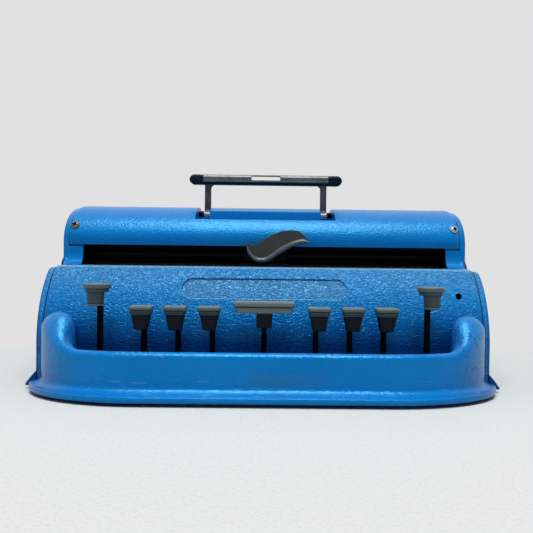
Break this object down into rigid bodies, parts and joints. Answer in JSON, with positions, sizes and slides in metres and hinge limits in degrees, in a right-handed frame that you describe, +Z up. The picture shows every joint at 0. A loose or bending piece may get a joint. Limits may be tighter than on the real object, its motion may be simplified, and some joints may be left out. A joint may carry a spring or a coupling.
{
  "type": "braille typewriter",
  "caption": "Six-key braille typewriter with painted casings, a guard rail round the keys, a sliding embossing carriage, paper rollers with side knobs, and a folding carrying handle.",
  "frame": {"origin": "on the table, under the middle of the machine's overall length and depth", "axes": "+X to the right of the person typing, -Y towards that person, +Z up"},
  "size_m": [0.387, 0.229, 0.1827],
  "materials": {
    "blue_paint": "satin blue enamel, crinkled on the front and end panels",
    "key_plastic": "worn dark grey moulding",
    "navy_plastic": "satin dark navy moulding",
    "grey_plastic": "polished dark grey moulding",
    "black_steel": "black enamel on steel",
    "bare_steel": "plain satin steel",
    "cast_metal": "as cast, dull",
    "brass": "aged brass",
    "rubber": "matt black"
  },
  "bodies": {
    "housing": {"base_casting": "blue_paint", "front_panel": "blue_paint", "left_end_panel": "blue_paint", "right_end_panel": "blue_paint", "top_cover": "blue_paint", "rear_panel": "blue_paint", "foot_front_left": "rubber", "foot_front_right": "rubber", "foot_rear_left": "rubber", "foot_rear_right": "rubber", "cover_screw_left": "bare_steel", "cover_screw_right": "bare_steel", "handle_pin_left": "black_steel", "handle_pin_right": "black_steel", "left_frame_plate": "cast_metal", "right_frame_plate": "cast_metal", "lower_carriage_rail": "bare_steel", "upper_carriage_rail": "bare_steel", "key_pivot_shaft": "bare_steel", "spacing_rack": "brass", "margin_rack": "bare_steel", "key_guide_comb": "cast_metal", "bell": "brass"},
    "handle": {"handle_frame": "bare_steel", "handle_grip": "navy_plastic"},
    "carriage": {"embossing_head": "cast_metal", "die_head": "cast_metal", "hand_lever_pin": "bare_steel"},
    "carriage_hand_lever": {"hand_lever": "grey_plastic"},
    "carriage_pawl": {"pawl": "bare_steel"},
    "paper_feed": {"feed_shaft": "bare_steel", "feed_roller": "rubber", "feed_knob_left": "key_plastic", "feed_knob_right": "key_plastic", "line_ratchet": "brass"},
    "paper_release": {"release_shaft": "bare_steel", "release_lever_left": "key_plastic", "release_lever_right": "key_plastic"},
    "paper_pressure": {"pressure_roller": "rubber"},
    "line_space_key": {"key_lever_line_space": "black_steel", "key_cap_line_space": "key_plastic"},
    "dot_3_key": {"key_lever_dot_3": "black_steel", "key_cap_dot_3": "key_plastic"},
    "dot_2_key": {"key_lever_dot_2": "black_steel", "key_cap_dot_2": "key_plastic"},
    "dot_1_key": {"key_lever_dot_1": "black_steel", "key_cap_dot_1": "key_plastic"},
    "space_key": {"key_lever_space": "black_steel", "key_cap_space": "key_plastic"},
    "dot_4_key": {"key_lever_dot_4": "black_steel", "key_cap_dot_4": "key_plastic"},
    "dot_5_key": {"key_lever_dot_5": "black_steel", "key_cap_dot_5": "key_plastic"},
    "dot_6_key": {"key_lever_dot_6": "black_steel", "key_cap_dot_6": "key_plastic"},
    "backspace_key": {"key_lever_backspace": "black_steel", "key_cap_backspace": "key_plastic"},
    "left_margin": {"margin_stop_left": "bare_steel"},
    "right_margin": {"margin_stop_right": "bare_steel"},
    "clapper": {"bell_clapper": "bare_steel"}
  },
  "joints": [
    {"name": "handle_fold", "type": "hinge", "parent": "housing", "child": "handle", "pos_m": [0, 0.06, 0.1448], "axis": [1, 0, 0], "range_deg": [-90, 0]},
    {"name": "carriage_slide", "type": "slide", "parent": "housing", "child": "carriage", "axis": [1, 0, 0], "range_m": [-0.125, 0.115]},
    {"name": "hand_lever_press", "type": "hinge", "parent": "carriage", "child": "carriage_hand_lever", "pos_m": [0, 0.0375, 0.1048], "axis": [1, 0, 0], "range_deg": [0, 4], "stiffness_Nm_per_rad": 0.4, "springref_deg": -2.86},
    {"name": "pawl_lift", "type": "hinge", "parent": "carriage", "child": "carriage_pawl", "pos_m": [-0.024, 0.05, 0.091], "axis": [1, 0, 0], "range_deg": [0, 5]},
    {"name": "paper_feed_turn", "type": "hinge", "parent": "housing", "child": "paper_feed", "pos_m": [0, 0.072, 0.0895], "axis": [1, 0, 0], "continuous": true},
    {"name": "paper_release_pull", "type": "hinge", "parent": "housing", "child": "paper_release", "pos_m": [0, 0.072, 0.113], "axis": [1, 0, 0], "range_deg": [0, 20], "stiffness_Nm_per_rad": 0.5, "springref_deg": -5.73},
    {"name": "pressure_roller_turn", "type": "hinge", "parent": "paper_release", "child": "paper_pressure", "pos_m": [0, 0.08353, 0.10103], "axis": [1, 0, 0], "continuous": true},
    {"name": "line_space_press", "type": "hinge", "parent": "housing", "child": "line_space_key", "pos_m": [-0.1236, 0.03, 0.0205], "axis": [1, 0, 0], "range_deg": [0, 4.4], "stiffness_Nm_per_rad": 2, "springref_deg": -2.86},
    {"name": "dot_3_press", "type": "hinge", "parent": "housing", "child": "dot_3_key", "pos_m": [-0.0904, 0.03, 0.0205], "axis": [1, 0, 0], "range_deg": [0, 4.4], "stiffness_Nm_per_rad": 2, "springref_deg": -2.86},
    {"name": "dot_2_press", "type": "hinge", "parent": "housing", "child": "dot_2_key", "pos_m": [-0.0647, 0.03, 0.0205], "axis": [1, 0, 0], "range_deg": [0, 4.4], "stiffness_Nm_per_rad": 2, "springref_deg": -2.86},
    {"name": "dot_1_press", "type": "hinge", "parent": "housing", "child": "dot_1_key", "pos_m": [-0.039, 0.03, 0.0205], "axis": [1, 0, 0], "range_deg": [0, 4.4], "stiffness_Nm_per_rad": 2, "springref_deg": -2.86},
    {"name": "space_press", "type": "hinge", "parent": "housing", "child": "space_key", "pos_m": [0, 0.03, 0.0205], "axis": [1, 0, 0], "range_deg": [0, 4.4], "stiffness_Nm_per_rad": 2, "springref_deg": -2.86},
    {"name": "dot_4_press", "type": "hinge", "parent": "housing", "child": "dot_4_key", "pos_m": [0.039, 0.03, 0.0205], "axis": [1, 0, 0], "range_deg": [0, 4.4], "stiffness_Nm_per_rad": 2, "springref_deg": -2.86},
    {"name": "dot_5_press", "type": "hinge", "parent": "housing", "child": "dot_5_key", "pos_m": [0.0647, 0.03, 0.0205], "axis": [1, 0, 0], "range_deg": [0, 4.4], "stiffness_Nm_per_rad": 2, "springref_deg": -2.86},
    {"name": "dot_6_press", "type": "hinge", "parent": "housing", "child": "dot_6_key", "pos_m": [0.0904, 0.03, 0.0205], "axis": [1, 0, 0], "range_deg": [0, 4.4], "stiffness_Nm_per_rad": 2, "springref_deg": -2.86},
    {"name": "backspace_press", "type": "hinge", "parent": "housing", "child": "backspace_key", "pos_m": [0.1236, 0.03, 0.0205], "axis": [1, 0, 0], "range_deg": [0, 4.4], "stiffness_Nm_per_rad": 2, "springref_deg": -2.86},
    {"name": "left_margin_slide", "type": "slide", "parent": "housing", "child": "left_margin", "axis": [1, 0, 0], "range_m": [0, 0.105]},
    {"name": "right_margin_slide", "type": "slide", "parent": "housing", "child": "right_margin", "axis": [1, 0, 0], "range_m": [-0.105, 0]},
    {"name": "clapper_swing", "type": "hinge", "parent": "housing", "child": "clapper", "pos_m": [-0.162, 0.044, 0.0515], "axis": [1, 0, 0], "range_deg": [-12, 0]}
  ],
  "couplings": [
    {"joint": "pawl_lift", "follows": "hand_lever_press", "ratio": 1.2},
    {"joint": "pressure_roller_turn", "follows": "paper_feed_turn", "ratio": -2.2}
  ]
}
